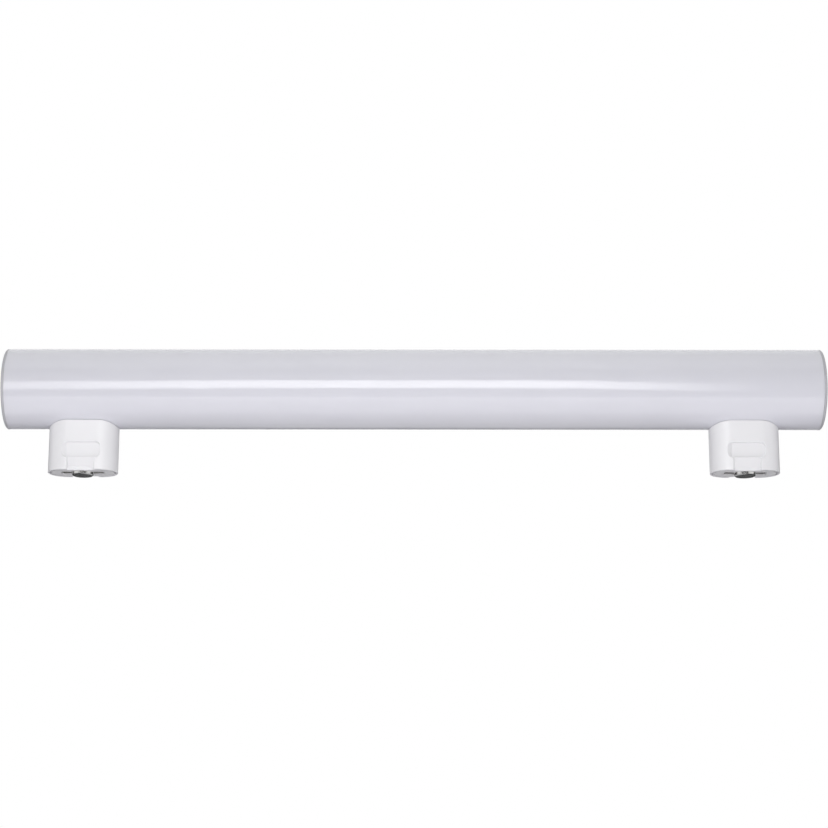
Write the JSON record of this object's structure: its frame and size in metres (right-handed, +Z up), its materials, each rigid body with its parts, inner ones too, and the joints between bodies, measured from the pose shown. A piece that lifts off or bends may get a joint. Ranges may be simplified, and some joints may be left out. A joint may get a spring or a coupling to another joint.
{
  "type": "double-peg tube lamp",
  "caption": "Straight opal tube lamp with thin end caps, carried near its ends by moulded obround pegs with T-shaped latch recesses and metal button contacts underneath.",
  "frame": {"origin": "midway between the contact buttons, on the plane that the lamp rests on", "axes": "+X along the tube, +Z up from the pegs to the tube"},
  "size_m": [0.3, 0.0296, 0.0475],
  "materials": {
    "opal_tube": "opal white, glossy, closed to view",
    "cap_plastic": "pale grey-white, satin",
    "base_plastic": "white moulded plastic, satin",
    "contact_metal": "nickel plated sheet, dulled"
  },
  "bodies": {
    "root": {"tube": "opal_tube", "end_cap_left": "cap_plastic", "end_cap_right": "cap_plastic", "base_left": "base_plastic", "base_right": "base_plastic", "contact_left": "contact_metal", "contact_right": "contact_metal"}
  },
  "joints": []
}
